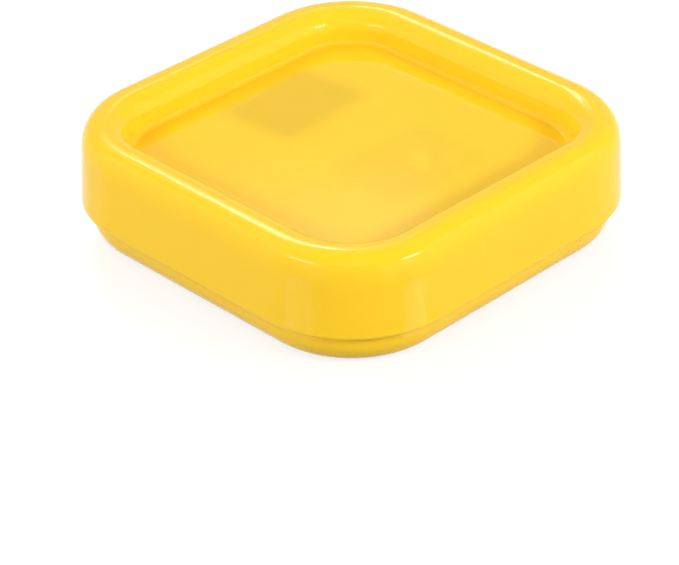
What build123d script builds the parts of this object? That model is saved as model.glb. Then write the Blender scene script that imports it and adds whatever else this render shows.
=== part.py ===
from build123d import *
import os
from math import radians, tan

os.makedirs("parts", exist_ok=True)

# A square magnetic pin bowl: a moulded tray with a hollow bullnose rim, closed
# underneath by a smaller base cover that snaps into its skirt. Two block magnets
# are glued under the dish floor, and four pads stand the bowl on the table.
# Origin: centre of the footprint on the table, +Z up, -Y towards the front.

# Overall size
bowl_width = 105.0
bowl_height = 28.6
corner_radius = 26.5

# Tray: skirt, bullnose rim and dish
shell_wall = 2.0
skirt_bottom = 8.5
skirt_edge_radius = 0.85
skirt_draft = radians(3.2)
crest_run = 6.4
crown_rise = 6.5
crown_fullness_share = 0.70
lip_run = 5.6
lip_drop = 4.7
dish_depth = 7.7
dish_wall_run = 0.4
dish_floor_fillet = 1.3
floor_join_run = 4.0
quarter_ellipse_share = 0.5523

# Gussets inside the hollow rim, which the base cover's wall stops against
gusset_thickness = 1.2
gusset_offset = 22.0

# Base cover
base_clearance = 0.2
base_wall = 1.8
base_floor = 2.0
base_round_run = 4.6
base_round_rise = 5.9
base_engagement = 6.0
base_join_run = 3.0

# Snap beads on the base cover's wall, and the grooves that they click into
bead_radius = 1.0
bead_proud = 0.5
bead_length = 24.0
bead_drop = 2.4
bead_clearance = 0.1

# Magnets: ferrite blocks, placed by hand
magnet_length = 28.0
magnet_width = 21.0
magnet_thickness = 8.0
magnet_chamfer = 0.5
magnet_left_x = -24.0
magnet_left_y = 5.3
magnet_left_turn = 5.0
magnet_right_x = 15.4
magnet_right_y = 3.9
magnet_right_turn = -1.5

# Hot-melt glue squeezed between each magnet and the dish floor
glue_thickness = 0.6
air_pocket_length = 8.0
air_pocket_width = 4.0
air_pocket_x = 0.9
air_pocket_y = 2.4
air_pocket_turn = -42.0

# Non-slip pads
foot_diameter = 10.0
foot_thickness = 1.0
foot_proud = 0.4
foot_inset = 19.5
foot_clearance = 0.2
foot_edge_radius = 0.25

# Heights and places that follow from the sizes above
half_width = bowl_width / 2
floor_top = bowl_height - dish_depth
floor_underside = floor_top - shell_wall
skirt_widest = skirt_bottom + skirt_edge_radius
crown_foot = bowl_height - crown_rise
crown_foot_run = (crown_foot - skirt_widest) * tan(skirt_draft)
dish_foot_run = crest_run + lip_run + dish_wall_run
tray_join_run = dish_foot_run + floor_join_run
base_bottom = foot_proud
base_side_run = shell_wall + base_clearance
base_top = skirt_bottom + base_engagement
base_top_run = base_side_run + (base_top - skirt_widest) * tan(skirt_draft)
base_join_total = base_side_run + base_round_run + base_join_run
bead_height = base_top - bead_drop
bead_run = base_side_run + (bead_height - skirt_widest) * tan(skirt_draft) + bead_radius - bead_proud
foot_spacing = bowl_width - 2 * foot_inset


def side_plane(turn, along=0):
    """A plane across one side of the bowl: X points inwards from the outer face, Y points up."""
    front = Plane(origin=(along, -half_width, 0), x_dir=(0, 1, 0), z_dir=(1, 0, 0))
    return Plane(Location((0, 0, 0), (0, 0, turn)) * front.location)


def side_planes(*places):
    """The same plane on all four sides, at each given place along the side."""
    return [side_plane(turn, along) for turn in (0, 90, 180, 270) for along in places]


def rim_outline(inset, low):
    """Draw the rim, sunk into the wall by inset: up the skirt from low, over the crest, down the dish."""
    skirt_end = Vector(crown_foot_run + inset, crown_foot)
    crest = Vector(crest_run, bowl_height - inset)
    lip_end = Vector(crest_run + lip_run - inset, bowl_height - lip_drop)
    dish_foot = Vector(dish_foot_run - inset, floor_top - inset)
    crown_up = (crown_rise - inset) * crown_fullness_share
    crown_in = (crest.X - skirt_end.X) * crown_fullness_share
    lip_out = (lip_end.X - crest.X) * quarter_ellipse_share
    lip_up = (lip_drop - inset) * quarter_ellipse_share
    wall_down = dish_foot - lip_end
    Line((inset + (low - skirt_widest) * tan(skirt_draft), low), skirt_end)
    Bezier(
        skirt_end,
        skirt_end + Vector(crown_up * tan(skirt_draft), crown_up),
        crest - Vector(crown_in, 0),
        crest,
    )
    Bezier(crest, crest + Vector(lip_out, 0), lip_end - wall_down.normalized() * lip_up, lip_end)
    Line(lip_end, dish_foot)
    return dish_foot


# The path that every section of the rim and of the base cover is carried along
with BuildLine() as rim_path:
    for turn in (0, 90, 180, 270):
        quarter = [(0, -half_width), (half_width, -half_width), (half_width, 0)]
        FilletPolyline(*[Vector(point).rotate(Axis.Z, turn) for point in quarter], radius=corner_radius)

# Tray: one moulding with an even wall, from the skirt's free edge to the dish floor
with BuildPart() as tray_shell:
    with BuildSketch(side_plane(0)) as tray_section:
        with BuildLine():
            upper_foot = rim_outline(0, skirt_widest)
            Line(upper_foot, (tray_join_run, floor_top))
            Line((tray_join_run, floor_top), (tray_join_run, floor_underside))
            under_foot = rim_outline(shell_wall, skirt_bottom)
            Line(under_foot, (tray_join_run, floor_underside))
            Line(
                (shell_wall - skirt_edge_radius * tan(skirt_draft), skirt_bottom),
                (skirt_edge_radius, skirt_bottom),
            )
            RadiusArc((skirt_edge_radius, skirt_bottom), (0, skirt_widest), skirt_edge_radius)
        make_face()
        fillet(tray_section.vertices().sort_by_distance(upper_foot)[0], dish_floor_fillet)
        fillet(tray_section.vertices().sort_by_distance(under_foot)[0], dish_floor_fillet + shell_wall)
    sweep(path=rim_path.wire())
    with BuildSketch(Plane.XY.offset(floor_underside)):
        RectangleRounded(
            bowl_width - 2 * tray_join_run,
            bowl_width - 2 * tray_join_run,
            corner_radius - tray_join_run,
        )
    extrude(amount=shell_wall)

    # Gussets across the hollow rim, two on each side, cut off level with the base cover's wall
    with BuildSketch(*side_planes(-gusset_offset, gusset_offset)):
        with BuildLine():
            gusset_foot = rim_outline(shell_wall / 2, skirt_widest)
            Line(gusset_foot, (gusset_foot.X, skirt_widest))
            Line((gusset_foot.X, skirt_widest), (shell_wall / 2, skirt_widest))
        make_face()
        with Locations((0, skirt_bottom)):
            Rectangle(dish_foot_run, base_engagement, align=Align.MIN, mode=Mode.SUBTRACT)
    extrude(amount=gusset_thickness / 2, both=True)

    # Grooves inside the skirt for the snap beads
    with BuildSketch(*side_planes(0)):
        with Locations((bead_run, bead_height)):
            Circle(bead_radius + bead_clearance)
    extrude(amount=bead_length / 2 + bead_clearance, both=True, mode=Mode.SUBTRACT)
tray_shell.part.label = "tray_shell"
export_step(tray_shell.part, "parts/tray_shell.step")

# Base cover: the rounded band that shows below the skirt, its floor, and a wall inside the skirt
with BuildPart() as base_cover:
    with BuildSketch(side_plane(0)):
        with BuildLine():
            band_low = Vector(base_side_run + base_round_run, base_bottom)
            band_high = Vector(base_side_run, base_bottom + base_round_rise)
            inner_low = Vector(band_low.X, base_bottom + base_floor)
            inner_high = Vector(base_side_run + base_wall, band_high.Y)
            Polyline((base_join_total, inner_low.Y), (base_join_total, base_bottom), band_low)
            Bezier(
                band_low,
                band_low - Vector(base_round_run * quarter_ellipse_share, 0),
                band_high - Vector(0, base_round_rise * quarter_ellipse_share),
                band_high,
            )
            Polyline(
                band_high,
                (base_side_run, skirt_widest),
                (base_top_run, base_top),
                (base_top_run + base_wall, base_top),
                (base_side_run + base_wall, skirt_widest),
                inner_high,
            )
            Bezier(
                inner_high,
                inner_high - Vector(0, (inner_high.Y - inner_low.Y) * quarter_ellipse_share),
                inner_low - Vector((inner_low.X - inner_high.X) * quarter_ellipse_share, 0),
                inner_low,
            )
            Line(inner_low, (base_join_total, inner_low.Y))
        make_face()
    sweep(path=rim_path.wire())
    with BuildSketch(Plane.XY.offset(base_bottom)):
        RectangleRounded(
            bowl_width - 2 * base_join_total,
            bowl_width - 2 * base_join_total,
            corner_radius - base_join_total,
        )
    extrude(amount=base_floor)

    # Snap beads along the middle of each side
    with BuildSketch(*side_planes(0)):
        with Locations((bead_run, bead_height)):
            Circle(bead_radius)
    extrude(amount=bead_length / 2, both=True)

    # Shallow seats for the pads
    with BuildSketch(Plane.XY.offset(base_bottom)):
        with GridLocations(foot_spacing, foot_spacing, 2, 2):
            Circle(foot_diameter / 2 + foot_clearance)
    extrude(amount=foot_thickness - foot_proud, mode=Mode.SUBTRACT)
base_cover.part.label = "base_cover"
export_step(base_cover.part, "parts/base_cover.step")

# Magnets and the glue that holds them under the dish floor
magnet_places = {
    "left": (magnet_left_x, magnet_left_y, magnet_left_turn),
    "right": (magnet_right_x, magnet_right_y, magnet_right_turn),
}

# The squeezed glue's outline, as shares of half the magnet's width and half its length
glue_outline_shares = [
    (0.95, 0.10),
    (1.04, 0.62),
    (0.86, 1.03),
    (0.20, 0.97),
    (-0.55, 1.05),
    (-1.05, 0.80),
    (-0.94, 0.15),
    (-1.06, -0.50),
    (-0.88, -1.02),
    (-0.15, -0.95),
    (0.60, -1.04),
    (1.05, -0.70),
]

for side, (x, y, turn) in magnet_places.items():
    glue_plane = Plane(Location((x, y, floor_underside - glue_thickness), (0, 0, turn)))
    with BuildPart() as magnet_glue:
        with BuildSketch(glue_plane):
            with BuildLine():
                Spline(
                    *[
                        (across * magnet_width / 2, along * magnet_length / 2)
                        for across, along in glue_outline_shares
                    ],
                    periodic=True,
                )
            make_face()
            if side == "right":
                with Locations(Location((air_pocket_x, air_pocket_y, 0), (0, 0, air_pocket_turn))):
                    Ellipse(air_pocket_length / 2, air_pocket_width / 2, mode=Mode.SUBTRACT)
        extrude(amount=glue_thickness)
    magnet_glue.part.label = f"magnet_glue_{side}"
    export_step(magnet_glue.part, f"parts/magnet_glue_{side}.step")

    with BuildPart() as magnet:
        with BuildSketch(glue_plane):
            Rectangle(magnet_width, magnet_length)
        extrude(amount=-magnet_thickness)
        chamfer(magnet.edges(), magnet_chamfer)
    magnet.part.label = f"magnet_{side}"
    export_step(magnet.part, f"parts/magnet_{side}.step")

# Non-slip pads, glued into their seats in the base cover
foot_names = {
    "foot_front_left": (-foot_spacing / 2, -foot_spacing / 2),
    "foot_front_right": (foot_spacing / 2, -foot_spacing / 2),
    "foot_back_left": (-foot_spacing / 2, foot_spacing / 2),
    "foot_back_right": (foot_spacing / 2, foot_spacing / 2),
}

for name, (x, y) in foot_names.items():
    with BuildPart() as foot:
        with BuildSketch(Plane(origin=(x, y, 0))):
            Circle(foot_diameter / 2)
        extrude(amount=foot_thickness)
        fillet(foot.edges().group_by(Axis.Z)[0], foot_edge_radius)
    foot.part.label = name
    export_step(foot.part, f"parts/{name}.step")
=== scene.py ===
import math

import bmesh
import bpy
import numpy as np
from mathutils import Matrix, Vector


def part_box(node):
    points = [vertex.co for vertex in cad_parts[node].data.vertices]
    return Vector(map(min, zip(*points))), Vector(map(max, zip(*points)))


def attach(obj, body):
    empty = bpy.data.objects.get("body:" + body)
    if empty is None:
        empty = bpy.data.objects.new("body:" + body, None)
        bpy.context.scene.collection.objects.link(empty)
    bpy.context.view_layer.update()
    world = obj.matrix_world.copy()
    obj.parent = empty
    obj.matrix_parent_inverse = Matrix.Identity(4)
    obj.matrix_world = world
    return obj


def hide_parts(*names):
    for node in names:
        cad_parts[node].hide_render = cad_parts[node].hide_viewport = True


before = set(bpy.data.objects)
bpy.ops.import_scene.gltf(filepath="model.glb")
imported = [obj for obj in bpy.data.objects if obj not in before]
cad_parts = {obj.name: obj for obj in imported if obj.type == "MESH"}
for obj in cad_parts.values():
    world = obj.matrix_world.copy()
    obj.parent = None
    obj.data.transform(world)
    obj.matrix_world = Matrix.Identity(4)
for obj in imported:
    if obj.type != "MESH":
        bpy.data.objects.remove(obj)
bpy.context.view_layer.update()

# Dish tray.
# One injection moulding of glossy, slightly milky yellow plastic with an even wall. It is the
# shallow dish, the bullnose rim round it and the skirt that comes down over the base cover.
tray_low, tray_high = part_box("tray_shell")
tray_width = tray_high.x - tray_low.x
tray_top = tray_high.z
skirt_bottom = tray_low.z
tray_corner = 0.0265
tray_wall = 0.0020
skirt_edge_radius = 0.00085
skirt_lean = math.tan(math.radians(3.2))
crest_run = 0.0064
crown_rise = 0.0065
crown_share = 0.70
lip_run = 0.0056
lip_drop = 0.0047
dish_depth = 0.0077
dish_wall_run = 0.0004
dish_fillet = 0.0013
circle_share = 0.5523
widest_height = skirt_bottom + skirt_edge_radius
floor_height = tray_top - dish_depth
floor_end_run = tray_corner * 0.75

# How many points each run of the section has, and how many columns and rings the grids have
skirt_edge_points = 8
skirt_points = 6
skirt_inside_points = 5
crown_points = 26
lip_points = 16
dish_wall_points = 4
fillet_points = 9
dish_floor_points = 4
free_edge_points = 2
side_columns = 20
corner_columns = 26
middle_rings = 6

same_point = 1e-9
merge_distance = 1e-7
hard_edge_degrees = 35


def stretch(start, end, count):
    """Points along a straight stretch, with one more near each end to keep the shading crisp."""
    near_end = 0.02
    share = np.linspace(0, 1, count)
    share = np.concatenate([[0, near_end], share[1:-1], [1 - near_end, 1]])[:, None]
    return np.array(start) + (np.array(end) - np.array(start)) * share


def bend(start, first, second, end, count):
    """Cubic Bezier curve from start to end: its handles are the first and second points."""
    t = np.linspace(0, 1, count)[:, None]
    s = 1 - t
    return (
        s**3 * np.array(start)
        + 3 * s**2 * t * np.array(first)
        + 3 * s * t**2 * np.array(second)
        + t**3 * np.array(end)
    )


def round_corner(before, corner, after, radius, count):
    """Arc that rounds the corner of two straight stretches.
    It touches both at radius / tan(half the corner's angle) from the corner.
    """
    before, corner, after = (np.array(point) for point in (before, corner, after))
    a = (before - corner) / np.linalg.norm(before - corner)
    b = (after - corner) / np.linalg.norm(after - corner)
    half = math.acos(float(a @ b)) / 2
    middle = corner + (a + b) / np.linalg.norm(a + b) * radius / math.sin(half)
    start = corner + a * radius / math.tan(half) - middle
    end = corner + b * radius / math.tan(half) - middle
    sweep = math.pi - 2 * half
    t = np.linspace(0, sweep, count)[:, None]
    return middle + (start * np.sin(sweep - t) + end * np.sin(t)) / math.sin(sweep)


def joined(*runs):
    """One outline from several runs of points, without the points that two runs share."""
    points = [runs[0]]
    for run in runs[1:]:
        shared = np.allclose(run[0], points[-1][-1], atol=same_point)
        points.append(run[1:] if shared else run)
    return np.concatenate(points)


def rim_outline(inset):
    """The rim's outline, sunk into the wall by inset, as points (run inwards, height).
    It gives the crown's foot, then the crown, the lip, the dish wall, its fillet and the floor.
    """
    crown_foot = tray_top - crown_rise
    foot = ((crown_foot - widest_height) * skirt_lean + inset, crown_foot)
    crest = (crest_run, tray_top - inset)
    lip_end = np.array([crest_run + lip_run - inset, tray_top - lip_drop])
    dish_foot = np.array([crest_run + lip_run + dish_wall_run - inset, floor_height - inset])
    floor_end = np.array([floor_end_run, floor_height - inset])
    crown_up = (crown_rise - inset) * crown_share
    crown_first = (foot[0] + crown_up * skirt_lean, foot[1] + crown_up)
    crown_second = (crest[0] - (crest[0] - foot[0]) * crown_share, crest[1])
    crown = bend(foot, crown_first, crown_second, crest, crown_points)
    slope = (dish_foot - lip_end) / np.linalg.norm(dish_foot - lip_end)
    lip_out = (lip_end[0] - crest[0]) * circle_share
    lip_up = (lip_drop - inset) * circle_share
    lip = bend(crest, (crest[0] + lip_out, crest[1]), lip_end - slope * lip_up, lip_end, lip_points)
    fillet = round_corner(lip_end, dish_foot, floor_end, dish_fillet + inset, fillet_points)
    dish_wall = stretch(lip_end, fillet[0], dish_wall_points)
    dish_floor = stretch(fillet[-1], floor_end, dish_floor_points)
    return foot, crown, lip, dish_wall, fillet, dish_floor


def tray_section():
    """The wall from the skirt's free edge over the rim to the dish floor, and its underside."""
    foot, *rim = rim_outline(0)
    turn = np.linspace(-math.pi / 2, 0, skirt_edge_points)
    rounding = np.stack([1 - np.cos(turn), 1 + np.sin(turn)], 1)
    skirt_edge = rounding * skirt_edge_radius + (0, skirt_bottom)
    upper = joined(skirt_edge, stretch((0, widest_height), foot, skirt_points), *rim)
    under_foot, *under_rim = rim_outline(tray_wall)
    inner_edge = (tray_wall - skirt_edge_radius * skirt_lean, skirt_bottom)
    under = joined(stretch(inner_edge, under_foot, skirt_inside_points), *under_rim)
    free_edge = stretch(inner_edge, (skirt_edge_radius, skirt_bottom), free_edge_points)
    return joined(free_edge, upper), under


def carried_round(section, width, corner):
    """Grid of points for a section carried round a rounded square.
    Column by column, a path point is the middle of a corner or a point of the inner square, plus
    an outward direction; a section point lies (corner - run) along that direction, at its height.
    """
    reach = width / 2 - corner
    along = np.linspace(-reach, reach, side_columns, endpoint=False)
    middles, outward = [], []
    for quarter in range(4):
        angle = quarter * math.pi / 2
        facing = np.array([math.cos(angle), math.sin(angle)])
        aside = np.array([-math.sin(angle), math.cos(angle)])
        middles.append(facing * reach + along[:, None] * aside)
        outward.append(np.tile(facing, (side_columns, 1)))
        turn = angle + np.linspace(0, math.pi / 2, corner_columns, endpoint=False)
        middles.append(np.tile((facing + aside) * reach, (corner_columns, 1)))
        outward.append(np.stack([np.cos(turn), np.sin(turn)], 1))
    middles, outward = np.concatenate(middles), np.concatenate(outward)
    away = corner - section[:, 0]
    plan = middles[None] + away[:, None, None] * outward[None]
    height = np.broadcast_to(section[:, 1][:, None, None], plan.shape[:2] + (1,))
    return np.concatenate([plan, height], 2)


def drawn_in(ring):
    """Rings that carry a flat surface from its edge ring in to the middle, each a share of it."""
    rings = ring[None] * np.linspace(1, 0, middle_rings + 1)[:, None, None]
    rings[..., 2] = ring[0, 2]
    return rings


def closed_skin(name, grids):
    """A mesh object from grids of closed rings, each ring joined to the next.
    Coinciding points are merged, then the faces are turned outwards and the hard edges marked.
    """
    points, quads, first = [], [], 0
    for grid in grids:
        rows, columns = grid.shape[:2]
        number = first + np.arange(rows * columns).reshape(rows, columns)
        beside = np.roll(number, -1, axis=1)
        quads.append(np.stack([number[:-1], beside[:-1], beside[1:], number[1:]], 2).reshape(-1, 4))
        points.append(grid.reshape(-1, 3))
        first += rows * columns
    mesh = bpy.data.meshes.new(name)
    mesh.from_pydata(np.concatenate(points).tolist(), [], np.concatenate(quads).tolist())
    shape = bmesh.new()
    shape.from_mesh(mesh)
    bmesh.ops.remove_doubles(shape, verts=shape.verts, dist=merge_distance)
    bmesh.ops.recalc_face_normals(shape, faces=shape.faces)
    shape.to_mesh(mesh)
    shape.free()
    mesh.polygons.foreach_set("use_smooth", np.ones(len(mesh.polygons), bool))
    mesh.set_sharp_from_angle(angle=math.radians(hard_edge_degrees))
    piece = bpy.data.objects.new(name, mesh)
    bpy.context.scene.collection.objects.link(piece)
    return piece


upper, under = tray_section()
upper_grid = carried_round(upper, tray_width, tray_corner)
under_grid = carried_round(under, tray_width, tray_corner)
tray_grids = [upper_grid, drawn_in(upper_grid[-1]), under_grid, drawn_in(under_grid[-1])]
tray = closed_skin("dish_tray", tray_grids)

# The plastic's colour drifts a little in wide clouds, and its skin has a fine grain. It is milky,
# so light goes a short way into it.
plastic_yellow = (0.96, 0.580, 0.016, 1)
plastic_deep = (0.94, 0.555, 0.014, 1)
cloud_scale = 45.0
cloud_detail = 3.0
grain_scale = 700.0
grain_detail = 2.0
gloss_roughness = (0.09, 0.13)
gloss_level = 0.14
skin_strength = 0.12
skin_depth = 0.00004
milk_weight = 0.45
milk_reach = (1.0, 0.7, 0.15)
milk_depth = 0.003


def noise(nodes, links, place, scale, detail):
    """A socket of soft noise at the given number of cells to the metre."""
    texture = nodes.new("ShaderNodeTexNoise")
    texture.inputs["Scale"].default_value = scale
    texture.inputs["Detail"].default_value = detail
    links.new(place, texture.inputs["Vector"])
    return texture.outputs["Fac"]


def spread(nodes, links, value, low, high, start=0.0, end=1.0, smooth=False):
    """A socket that goes from low to high while the value goes from start to end."""
    scaled = nodes.new("ShaderNodeMapRange")
    scaled.interpolation_type = "SMOOTHSTEP" if smooth else "LINEAR"
    scaled.inputs["From Min"].default_value = start
    scaled.inputs["From Max"].default_value = end
    scaled.inputs["To Min"].default_value = low
    scaled.inputs["To Max"].default_value = high
    links.new(value, scaled.inputs["Value"])
    return scaled.outputs[0]


def mixed(nodes, links, share, first, second, blend="MIX"):
    """A colour socket that goes from the first colour to the second as the share rises."""
    mix = nodes.new("ShaderNodeMix")
    mix.data_type = "RGBA"
    mix.blend_type = blend
    links.new(share, mix.inputs[0])
    for colour, socket in ((first, mix.inputs[6]), (second, mix.inputs[7])):
        if isinstance(colour, tuple):
            socket.default_value = colour
        else:
            links.new(colour, socket)
    return mix.outputs[2]


def moulded_plastic(name):
    """Glossy moulded yellow plastic: the material, its place socket and its colour socket."""
    material = bpy.data.materials.new(name)
    material.use_nodes = True
    nodes, links = material.node_tree.nodes, material.node_tree.links
    shader = nodes["Principled BSDF"]
    place = nodes.new("ShaderNodeTexCoord").outputs["Object"]
    cloud = noise(nodes, links, place, cloud_scale, cloud_detail)
    colour = mixed(nodes, links, cloud, plastic_yellow, plastic_deep)
    links.new(colour, shader.inputs["Base Color"])
    grain = noise(nodes, links, place, grain_scale, grain_detail)
    links.new(spread(nodes, links, grain, *gloss_roughness), shader.inputs["Roughness"])
    skin = nodes.new("ShaderNodeBump")
    skin.inputs["Strength"].default_value = skin_strength
    skin.inputs["Distance"].default_value = skin_depth
    links.new(grain, skin.inputs["Height"])
    links.new(skin.outputs[0], shader.inputs["Normal"])
    shader.inputs["Specular IOR Level"].default_value = gloss_level
    shader.inputs["Subsurface Weight"].default_value = milk_weight
    shader.inputs["Subsurface Radius"].default_value = milk_reach
    shader.inputs["Subsurface Scale"].default_value = milk_depth
    return material, place, colour


# The dark magnets glued under the dish floor show through it as soft shadows, painted as shade
# into the plastic's colour. The right one's painted shadow is fainter and blotchy, and it leaves
# out an oval air pocket in its glue, which shows as a painted light spot.
shadow_width = 0.0225
shadow_length = 0.0295
shadow_edge = 0.0036
shadow_round = 0.0042
left_shadow_turn = 5.0
left_shadow_tint = (0.80, 0.850, 0.83, 1)
right_shadow_turn = -1.5
right_shadow_tint = (0.88, 0.945, 0.95, 1)
blotch_scale = 130.0
blotch_detail = 2.0
blotch_noise = (0.3, 0.7)
blotch_strength = (0.55, 1.45)
pocket_place = (0.0163, 0.0063)
pocket_size = (0.0090, 0.0048)
pocket_turn = -42.0
pocket_fade = (0.2, 2.0)


def arithmetic(nodes, links, operation, *values):
    """A socket with the result of one sum; each value is a number or another socket."""
    node = nodes.new("ShaderNodeMath")
    node.operation = operation
    for value, socket in zip(values, node.inputs):
        if isinstance(value, (int, float)):
            socket.default_value = value
        else:
            links.new(value, socket)
    return node.outputs[0]


def local_axes(nodes, links, place, middle, turn):
    """The two distances from a turned pair of axes through the middle, without their signs."""
    shift = nodes.new("ShaderNodeMapping")
    shift.vector_type = "TEXTURE"
    shift.inputs["Location"].default_value = (middle[0], middle[1], 0)
    shift.inputs["Rotation"].default_value = (0, 0, math.radians(turn))
    links.new(place, shift.inputs["Vector"])
    apart = nodes.new("ShaderNodeSeparateXYZ")
    links.new(shift.outputs[0], apart.inputs[0])
    return [arithmetic(nodes, links, "ABSOLUTE", apart.outputs[axis]) for axis in ("X", "Y")]


def block_shadow(nodes, links, place, magnet_name, turn):
    """A socket that is 1 over the magnet and fades to 0 round a rectangle with round corners.
    The fade follows the distance from the rectangle that is smaller by the corners' radius.
    """
    low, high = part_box(magnet_name)
    axes = local_axes(nodes, links, place, (low + high) / 2, turn)
    squares = []
    for distance, size in zip(axes, (shadow_width, shadow_length)):
        past = arithmetic(nodes, links, "SUBTRACT", distance, size / 2 - shadow_round)
        past = arithmetic(nodes, links, "MAXIMUM", past, 0.0)
        squares.append(arithmetic(nodes, links, "MULTIPLY", past, past))
    beyond = arithmetic(nodes, links, "SQRT", arithmetic(nodes, links, "ADD", *squares))
    fade = (shadow_round - shadow_edge, shadow_round + shadow_edge)
    return spread(nodes, links, beyond, 1.0, 0.0, *fade, smooth=True)


def round_the_pocket(nodes, links, place):
    """A socket that is 0 in the oval air pocket and 1 away from it.
    It follows the sum of the squares of the two distances, each as a share of half the oval.
    """
    axes = local_axes(nodes, links, place, pocket_place, pocket_turn)
    squares = []
    for distance, size in zip(axes, pocket_size):
        share = arithmetic(nodes, links, "DIVIDE", distance, size / 2)
        squares.append(arithmetic(nodes, links, "MULTIPLY", share, share))
    far = arithmetic(nodes, links, "ADD", *squares)
    return spread(nodes, links, far, 0.0, 1.0, *pocket_fade, smooth=True)


# Painted shade: the magnets' shadows darken the tray plastic's colour, and the air pocket leaves a
# painted light spot in the right one.
tray_finish, place, colour = moulded_plastic("sunny_yellow_plastic")
nodes, links = tray_finish.node_tree.nodes, tray_finish.node_tree.links
left_shadow = block_shadow(nodes, links, place, "magnet_left", left_shadow_turn)
colour = mixed(nodes, links, left_shadow, colour, left_shadow_tint, "MULTIPLY")
right_shadow = block_shadow(nodes, links, place, "magnet_right", right_shadow_turn)
blotches = noise(nodes, links, place, blotch_scale, blotch_detail)
blotches = spread(nodes, links, blotches, *blotch_strength, *blotch_noise)
right_shadow = arithmetic(nodes, links, "MULTIPLY", right_shadow, blotches)
no_pocket = round_the_pocket(nodes, links, place)
right_shadow = arithmetic(nodes, links, "MULTIPLY", right_shadow, no_pocket)
colour = mixed(nodes, links, right_shadow, colour, right_shadow_tint, "MULTIPLY")
links.new(colour, nodes["Principled BSDF"].inputs["Base Color"])
tray.data.materials.append(tray_finish)
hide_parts("tray_shell")
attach(tray, "root")

# Base cover.
# The second yellow moulding: a shallow tub with a rounded lower edge, which shows as a band below
# the skirt. Its wall snaps up inside the skirt, and four shallow round seats hold the pads.
base_low, base_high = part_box("base_cover")
base_bottom = base_low.z
base_top = base_high.z
base_clearance = 0.0002
base_wall = 0.0018
base_floor = 0.0020
base_round_run = 0.0046
base_round_rise = 0.0059
base_flat_run = 0.0030
foot_low, foot_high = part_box("foot_back_right")
seat_clearance = 0.0002
seat_depth = foot_high.z - base_bottom
seat_radius = (foot_high.x - foot_low.x) / 2 + seat_clearance
seat_place = (foot_low.x + foot_high.x) / 2

# How many points each run of the section has, and where the rings of a seat's quarter lie
base_flat_points = 3
base_round_points = 16
base_band_points = 3
base_wall_points = 4
quarter_edge_points = 15
seat_flat_shares = (0, 0.3, 0.6, 0.85, 0.97, 1)
seat_floor_shares = (1, 0.98, 0.5, 0)


def base_sections():
    """Outer and inner outline of the base cover, from the bottom's flat part to the wall's top."""
    side = tray_wall + base_clearance
    lean = (base_top - widest_height) * skirt_lean
    outlines = []
    for inset, low in ((0, base_bottom), (base_wall, base_bottom + base_floor)):
        flat = (side + base_round_run + base_flat_run, low)
        start = (side + base_round_run, low)
        end = (side + inset, base_bottom + base_round_rise)
        inwards = (start[0] - end[0]) * circle_share
        down = (end[1] - start[1]) * circle_share
        waist = (side + inset, widest_height)
        head = (side + inset + lean, base_top)
        bottom = stretch(flat, start, base_flat_points)
        curve = bend(start, (start[0] - inwards, low), (end[0], end[1] - down), end, base_round_points)
        band = stretch(end, waist, base_band_points)
        wall = stretch(waist, head, base_wall_points)
        outlines.append(joined(bottom, curve, band, wall))
    outer, inner = outlines
    return joined(outer, stretch(outer[-1], inner[-1], free_edge_points)), inner


def seated_quarters(edge):
    """The bottom's flat part, a quarter at a time, in rings from its outline to its pad seat.
    Each outline point moves straight towards the seat's middle, as far as the seat's circle, and
    the rings then go up the seat's wall and across its floor.
    """
    per_quarter = side_columns + corner_columns
    along = np.linspace(0, 1, quarter_edge_points)[1:, None]
    height = np.array([0, 0, seat_depth])
    heart = np.array([0, 0, base_bottom])
    flat_shares = np.array(seat_flat_shares)[:, None, None]
    floor_shares = np.array(seat_floor_shares)[:, None, None]
    rings = []
    for quarter in range(4):
        columns = quarter * per_quarter + side_columns // 2 + np.arange(per_quarter + 1)
        rim = edge[columns % len(edge)]
        inwards = rim[-1] + (heart - rim[-1]) * along
        outwards = heart + (rim[0] - heart) * along
        outline = np.concatenate([rim, inwards, outwards[:-1]])
        corner = np.sign(rim[per_quarter // 2][:2]) * seat_place
        middle = np.array([*corner, base_bottom])
        away = outline - middle
        circle = middle + away / np.linalg.norm(away, axis=1)[:, None] * seat_radius
        flat = outline + (circle - outline) * flat_shares
        wall = np.stack([circle, circle + height])
        floor = middle + height + (circle - middle) * floor_shares
        rings += [flat, wall, floor]
    return rings


outer, inner = base_sections()
outer_grid = carried_round(outer, tray_width, tray_corner)
inner_grid = carried_round(inner, tray_width, tray_corner)
base_grids = [outer_grid, inner_grid, drawn_in(inner_grid[0]), *seated_quarters(outer_grid[0])]
base = closed_skin("base_shell", base_grids)
base.data.materials.append(moulded_plastic("base_yellow_plastic")[0])
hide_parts("base_cover")
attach(base, "root")

# Magnets.
# Two block magnets of pressed and sintered ferrite, dark grey with a fine matt grain. They are
# glued under the dish floor and sealed in by the base cover.
ferrite_dark = (0.030, 0.029, 0.031, 1)
ferrite_light = (0.060, 0.057, 0.059, 1)
ferrite_scale = 2500.0
ferrite_roughness = (0.55, 0.8)
ferrite_depth = 0.00005
matt_detail = 4.0


def grained(name, dark, light, scale, roughness, depth):
    """A matt material whose colour, roughness and skin vary with the same fine noise."""
    material = bpy.data.materials.new(name)
    material.use_nodes = True
    nodes, links = material.node_tree.nodes, material.node_tree.links
    shader = nodes["Principled BSDF"]
    place = nodes.new("ShaderNodeTexCoord").outputs["Object"]
    grain = noise(nodes, links, place, scale, matt_detail)
    links.new(mixed(nodes, links, grain, dark, light), shader.inputs["Base Color"])
    links.new(spread(nodes, links, grain, *roughness), shader.inputs["Roughness"])
    skin = nodes.new("ShaderNodeBump")
    skin.inputs["Distance"].default_value = depth
    links.new(grain, skin.inputs["Height"])
    links.new(skin.outputs[0], shader.inputs["Normal"])
    return material


def finished(node_names, material):
    """Gives its material to each piece that keeps the shape it comes with."""
    for node_name in node_names:
        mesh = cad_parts[node_name].data
        mesh.materials.clear()
        mesh.materials.append(material)


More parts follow.
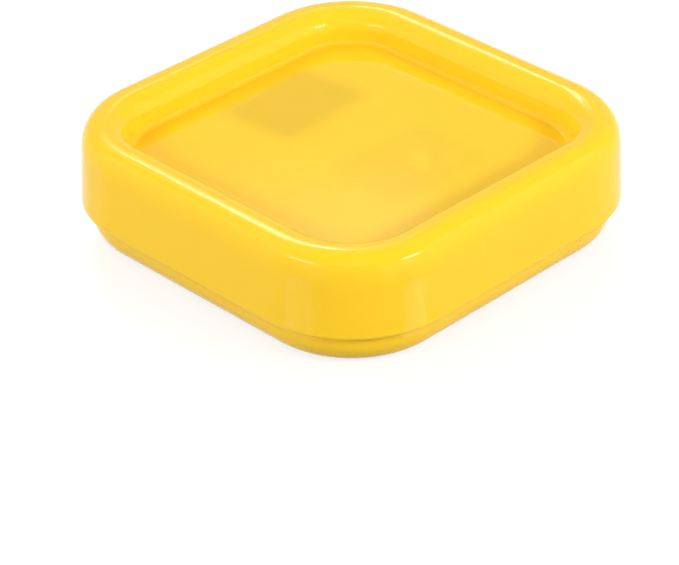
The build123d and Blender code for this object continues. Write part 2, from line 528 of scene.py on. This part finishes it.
ferrite_look = (ferrite_dark, ferrite_light, ferrite_scale, ferrite_roughness, ferrite_depth)
finished(("magnet_left", "magnet_right"), grained("sintered_ferrite", *ferrite_look))

# Magnet glue.
# Milky hot-melt glue, squeezed flat between each magnet and the underside of the dish floor. It
# sets waxy, with soft flow marks.
glue_dark = (0.74, 0.68, 0.52, 1)
glue_light = (0.86, 0.81, 0.66, 1)
glue_scale = 400.0
glue_roughness = (0.3, 0.5)
glue_depth = 0.0001
glue_look = (glue_dark, glue_light, glue_scale, glue_roughness, glue_depth)
finished(("magnet_glue_left", "magnet_glue_right"), grained("hot_melt_glue", *glue_look))

# Pads.
# Four round pads punched from soft, pale grey rubber sheet and glued into their seats under the
# base cover, so that the bowl doesn't slide.
rubber_dark = (0.52, 0.52, 0.50, 1)
rubber_light = (0.64, 0.64, 0.62, 1)
rubber_scale = 3000.0
rubber_roughness = (0.7, 0.9)
rubber_depth = 0.00004
rubber_look = (rubber_dark, rubber_light, rubber_scale, rubber_roughness, rubber_depth)
pad_names = ("foot_front_left", "foot_front_right", "foot_back_left", "foot_back_right")
finished(pad_names, grained("pale_rubber", *rubber_look))

# Studio floor.
# A smooth sheet of white board that the bowl stands on. Light Path shows it white to the camera
# and in gloss, while it throws little light back up at the bowl and keeps the bowl's soft shadow.
floor_size = 6.0
floor_tone = 0.25
floor_white = 0.76

# Each of these is a pair: to the camera, and to light that the bowl mirrors. The board mirrors the
# lamps more there, and they show as light stripes on the bowl's wall beside the front corner.
floor_roughness = (0.35, 0.16)
floor_index = (1.5, 2.4)


def seen_directly(nodes, links):
    """A socket that is 1 for camera, glossy and transmission rays and 0 for all others."""
    rays = nodes.new("ShaderNodeLightPath").outputs
    seen = arithmetic(nodes, links, "MAXIMUM", rays["Is Camera Ray"], rays["Is Glossy Ray"])
    return arithmetic(nodes, links, "MAXIMUM", seen, rays["Is Transmission Ray"])


floor_mesh = bpy.data.meshes.new("studio_floor")
edge = floor_size / 2
floor_corners = [(-edge, -edge, 0), (edge, -edge, 0), (edge, edge, 0), (-edge, edge, 0)]
floor_mesh.from_pydata(floor_corners, [], [(0, 1, 2, 3)])
floor = bpy.data.objects.new("studio_floor", floor_mesh)
bpy.context.scene.collection.objects.link(floor)
board = bpy.data.materials.new("white_board")
board.use_nodes = True
nodes, links = board.node_tree.nodes, board.node_tree.links
surface = nodes["Principled BSDF"]
surface.inputs["Base Color"].default_value = (floor_tone, floor_tone, floor_tone, 1)
glossy = nodes.new("ShaderNodeLightPath").outputs["Is Glossy Ray"]
links.new(spread(nodes, links, glossy, *floor_roughness), surface.inputs["Roughness"])
links.new(spread(nodes, links, glossy, *floor_index), surface.inputs["IOR"])
surface.inputs["Emission Color"].default_value = (1, 1, 1, 1)
shown = spread(nodes, links, seen_directly(nodes, links), 0.0, floor_white)
links.new(shown, surface.inputs["Emission Strength"])
floor.data.materials.append(board)

# Room.
# An even pale room round the bowl and its floor. It lights the bowl from all sides, and shows
# white to the camera and in gloss.
room_light = 0.31
room_white = 1.0
world = bpy.data.worlds.new("white_room")
bpy.context.scene.world = world
world.use_nodes = True
nodes, links = world.node_tree.nodes, world.node_tree.links
shown = spread(nodes, links, seen_directly(nodes, links), room_light, room_white)
links.new(shown, nodes["Background"].inputs["Strength"])
nodes["Background"].inputs["Color"].default_value = (1, 1, 1, 1)

# Lamps.
# Each is a rectangular softbox round the bowl: bearing from +X and height above the floor in
# degrees, width and height in degrees as the bowl sees it, and how bright its face is.
lamps = {
    "back": (146, 43, 15, 9, 9.5),
    "back_wide": (152, 45, 32, 12, 1.3),
    "back_low": (145.5, 36.3, 23, 9, 1.7),
    "left": (-95, 28, 26, 11, 12.5),
    "right": (15, 29.5, 19, 9, 28.0),
    "front": (-45, 42, 38, 20, 1.5),
    "left_low": (-90, 10, 42, 18, 1.5),
    "right_low": (0, 10, 42, 18, 2.3),
    "left_panel": (-135, 23, 40, 42, 1.5),
    "right_panel": (45, 23, 40, 42, 1.6),
    "high": (180, 62, 60, 24, 0.6),
}
lamp_distance = 1.2
lamp_aim = Vector((0, 0, 0.02))
for name, (bearing, height, across, tall, radiance) in lamps.items():
    lamp = bpy.data.lights.new(f"softbox_{name}", "AREA")
    lamp.shape = "RECTANGLE"
    lamp.size = 2 * lamp_distance * math.tan(math.radians(across / 2))
    lamp.size_y = 2 * lamp_distance * math.tan(math.radians(tall / 2))
    lamp.energy = radiance * math.pi * lamp.size * lamp.size_y
    turn, lift = math.radians(bearing), math.radians(height)
    level = math.cos(lift)
    towards = Vector((math.cos(turn) * level, math.sin(turn) * level, math.sin(lift)))
    softbox = bpy.data.objects.new(f"softbox_{name}", lamp)
    softbox.location = lamp_aim + towards * lamp_distance
    softbox.rotation_mode = "QUATERNION"
    softbox.rotation_quaternion = towards.to_track_quat("Z", "Y")
    bpy.context.scene.collection.objects.link(softbox)

# Camera.
# It looks down at the bowl from beyond its front corner through a long lens, with the horizon
# turned a little. Its place and lens come from the outline of the bowl in the photo.
camera_azimuth = math.radians(45.25)
camera_elevation = math.radians(32.68)
camera_roll = math.radians(-0.74)
camera_place = Vector((0.403178, -0.403991, 0.349337))
camera_focal_pixels = 2831.72
photo_width_pixels = 679
sensor_width = 36.0
nearest_seen = 0.05
farthest_seen = 20.0
back = Vector((
    math.sin(camera_azimuth) * math.cos(camera_elevation),
    -math.cos(camera_azimuth) * math.cos(camera_elevation),
    math.sin(camera_elevation),
))
right = Vector((math.cos(camera_azimuth), math.sin(camera_azimuth), 0))
above = back.cross(right)
turned_right = math.cos(camera_roll) * right + math.sin(camera_roll) * above
turned_up = -math.sin(camera_roll) * right + math.cos(camera_roll) * above
camera_turn = Matrix((turned_right, turned_up, back)).transposed().to_4x4()
camera_data = bpy.data.cameras.new("camera")
camera_data.sensor_width = sensor_width
camera_data.lens = camera_focal_pixels * sensor_width / photo_width_pixels
camera_data.clip_start = nearest_seen
camera_data.clip_end = farthest_seen
camera = bpy.data.objects.new("camera", camera_data)
camera.matrix_world = Matrix.Translation(camera_place) @ camera_turn
bpy.context.scene.collection.objects.link(camera)
bpy.context.scene.camera = camera
bpy.context.scene.view_settings.view_transform = "Standard"
